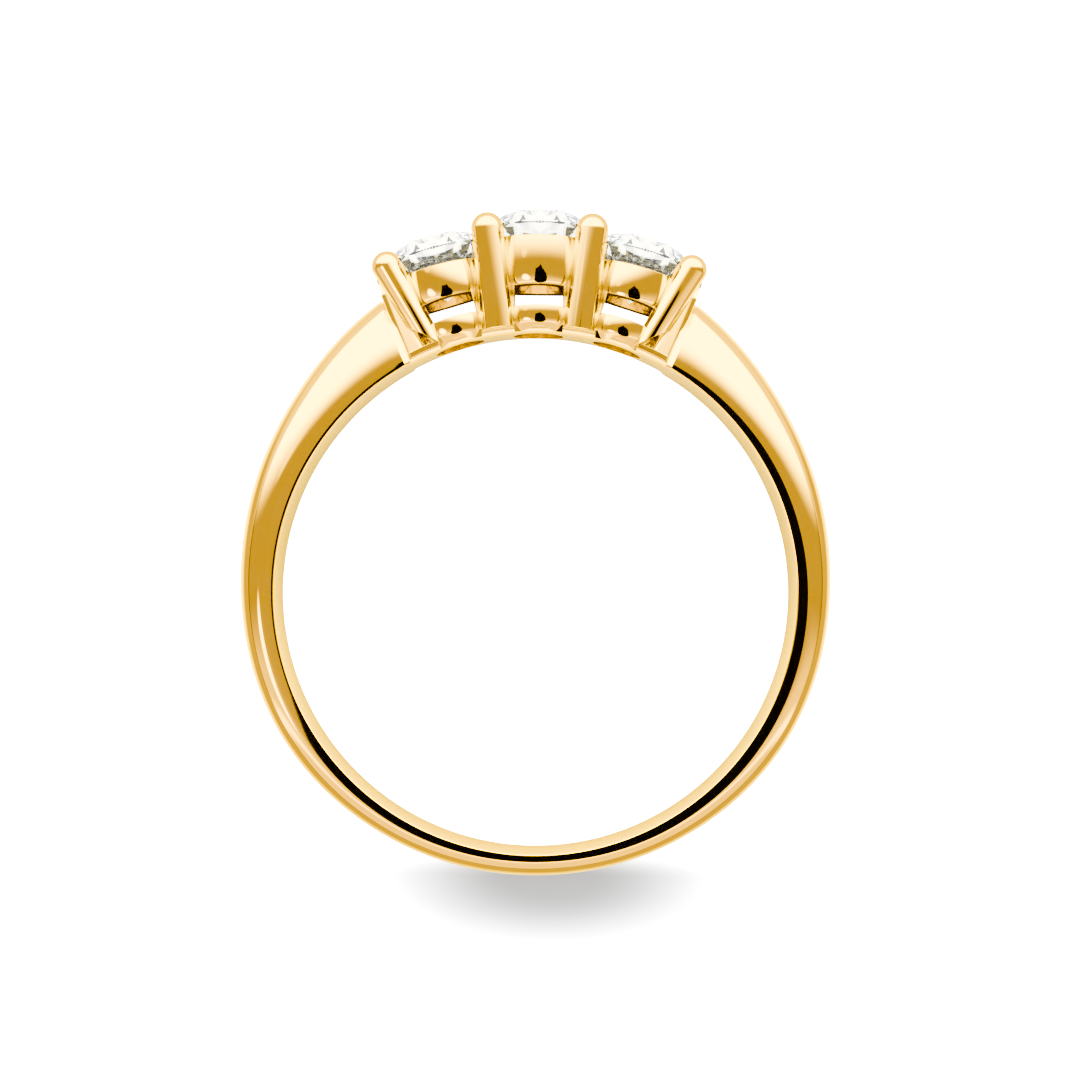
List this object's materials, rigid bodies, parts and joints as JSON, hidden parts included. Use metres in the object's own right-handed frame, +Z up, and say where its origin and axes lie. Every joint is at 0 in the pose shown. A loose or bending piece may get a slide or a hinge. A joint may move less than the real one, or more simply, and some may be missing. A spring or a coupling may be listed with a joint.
{
  "type": "ring with stones",
  "caption": "Polished yellow gold finger ring with a row of round brilliants held by shared prongs over open cups, on a shank that tapers to its back.",
  "frame": {"origin": "on the surface the ring lies on, under the middle of its box", "axes": "+Z up from the surface, nearly along the finger hole's axis; +Y from the back of the shank to the stones; +X along the row of stones, to the right one"},
  "size_m": [0.0198, 0.0221, 0.0036],
  "materials": {
    "gold": "mirror polished 18 carat yellow gold",
    "diamond": "clear, flat polished facets"
  },
  "bodies": {
    "root": {"mount": "gold", "centre_stone": "diamond", "left_stone": "diamond", "right_stone": "diamond"}
  },
  "joints": []
}
